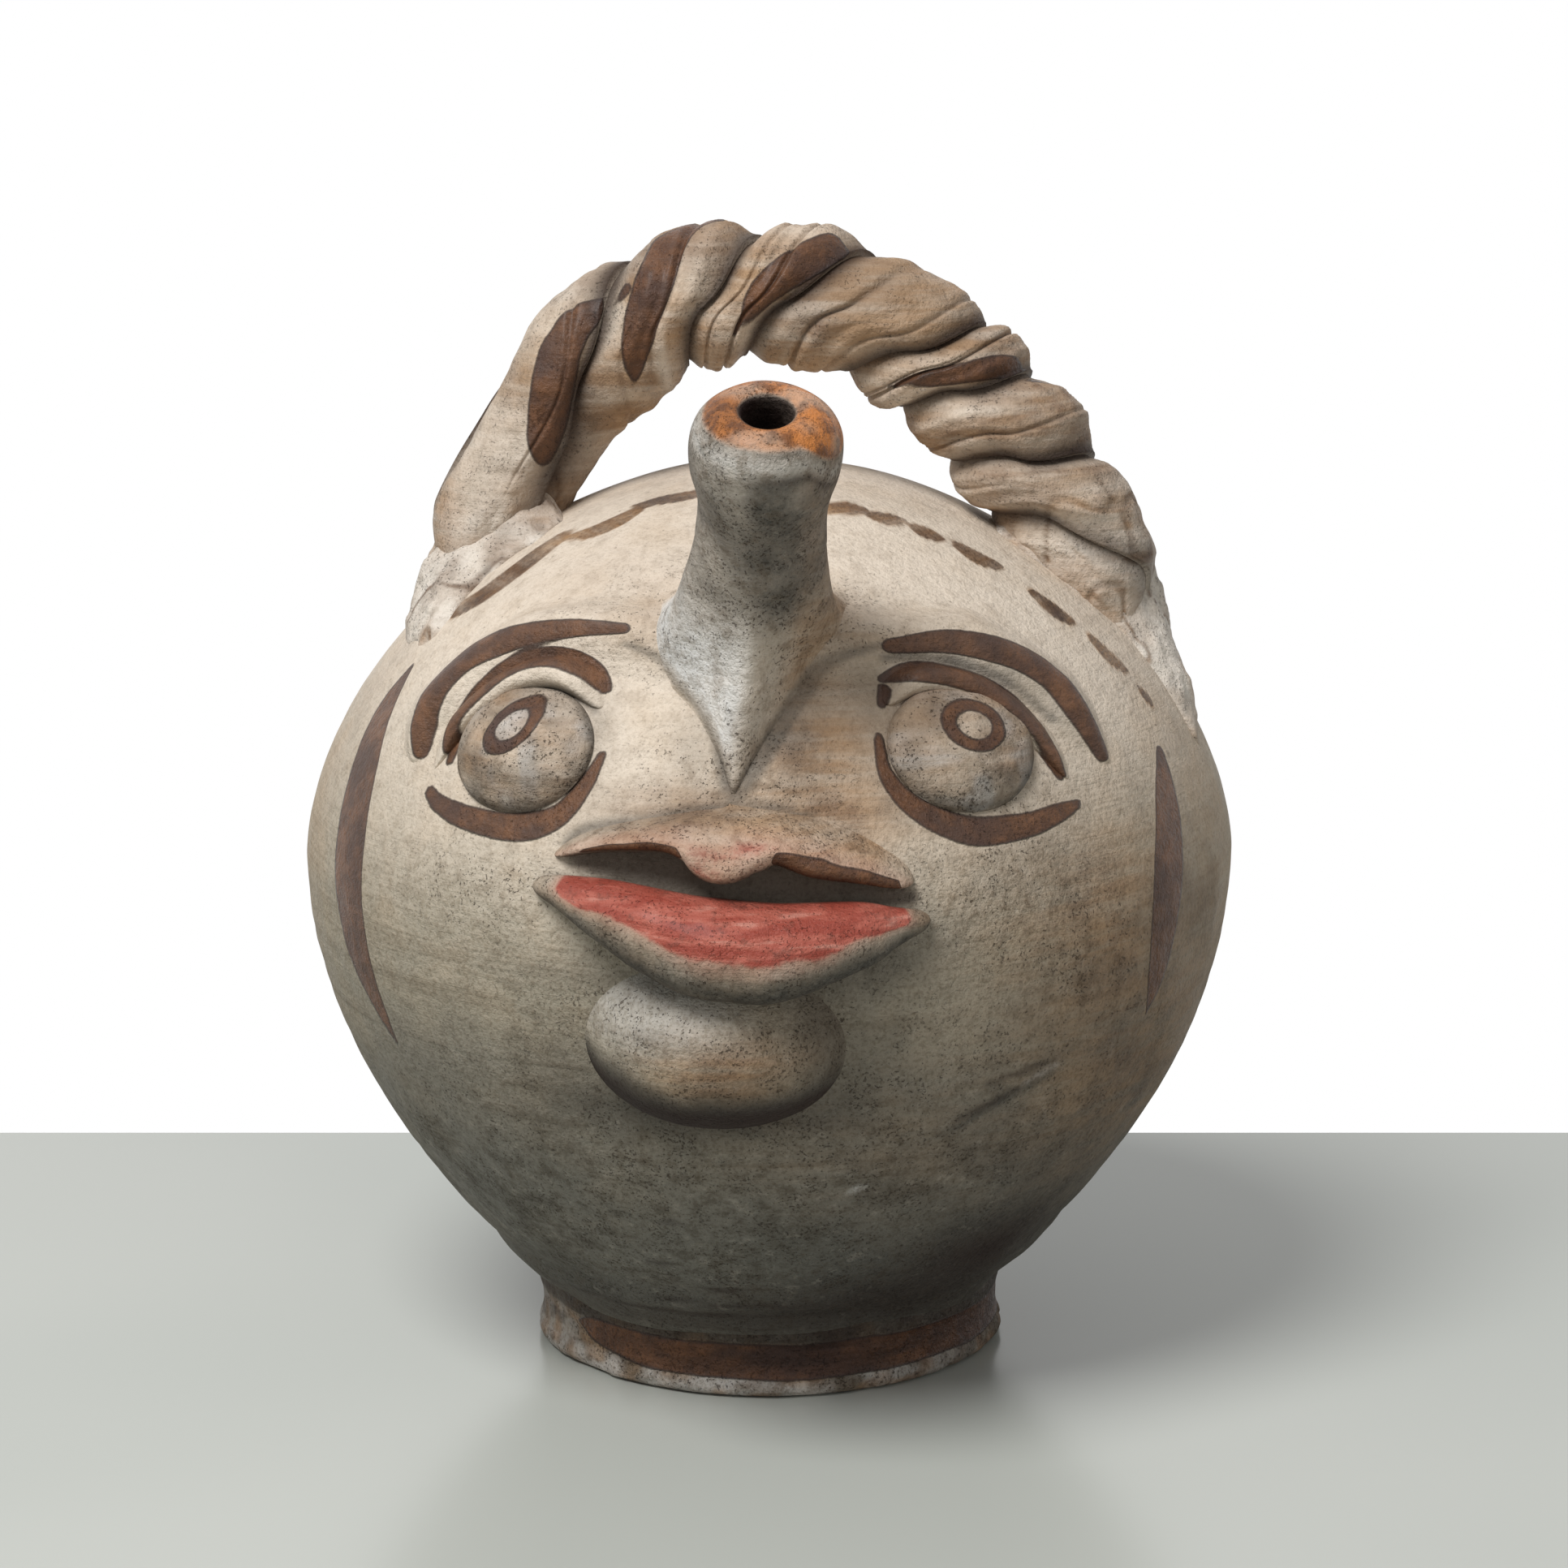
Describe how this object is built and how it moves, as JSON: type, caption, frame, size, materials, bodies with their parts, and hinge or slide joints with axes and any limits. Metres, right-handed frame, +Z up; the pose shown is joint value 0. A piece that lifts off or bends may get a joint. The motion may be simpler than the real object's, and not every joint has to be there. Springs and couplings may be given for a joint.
{
  "type": "anthropomorphic jug",
  "caption": "Round fired-clay jug shaped as a face, with a tubular spout for a nose, pressed-on eyes, brows, lips and chin, a flat foot and a twisted basket handle over the crown.",
  "frame": {"origin": "middle of the foot's flat underside, on the body's turning axis", "axes": "+Z up along the turning axis, the face and the spout look along -Y, +X to the viewer's right when the face is seen from the front"},
  "size_m": [0.21, 0.2259, 0.2556],
  "materials": {
    "cream_slip": "satin cream slip, speckled, greyer towards the foot",
    "greyed_slip": "worn grey slip with an orange lip",
    "brown_paint": "glossy brown brush strokes",
    "pink_paint": "pink brush strokes over slip",
    "handle_clay": "beige clay with brown strokes"
  },
  "bodies": {
    "root": {"body_shell": "cream_slip", "foot_disc": "brown_paint", "spout": "greyed_slip", "nose_ridge": "greyed_slip", "left_eyeball": "cream_slip", "right_eyeball": "cream_slip", "left_brow": "brown_paint", "right_brow": "brown_paint", "left_upper_eyelid": "brown_paint", "right_upper_eyelid": "brown_paint", "upper_lip": "pink_paint", "lower_lip": "pink_paint", "chin_boss": "greyed_slip", "handle_strand_a": "handle_clay", "handle_strand_b": "handle_clay", "left_handle_root": "handle_clay", "right_handle_root": "handle_clay"}
  },
  "joints": []
}
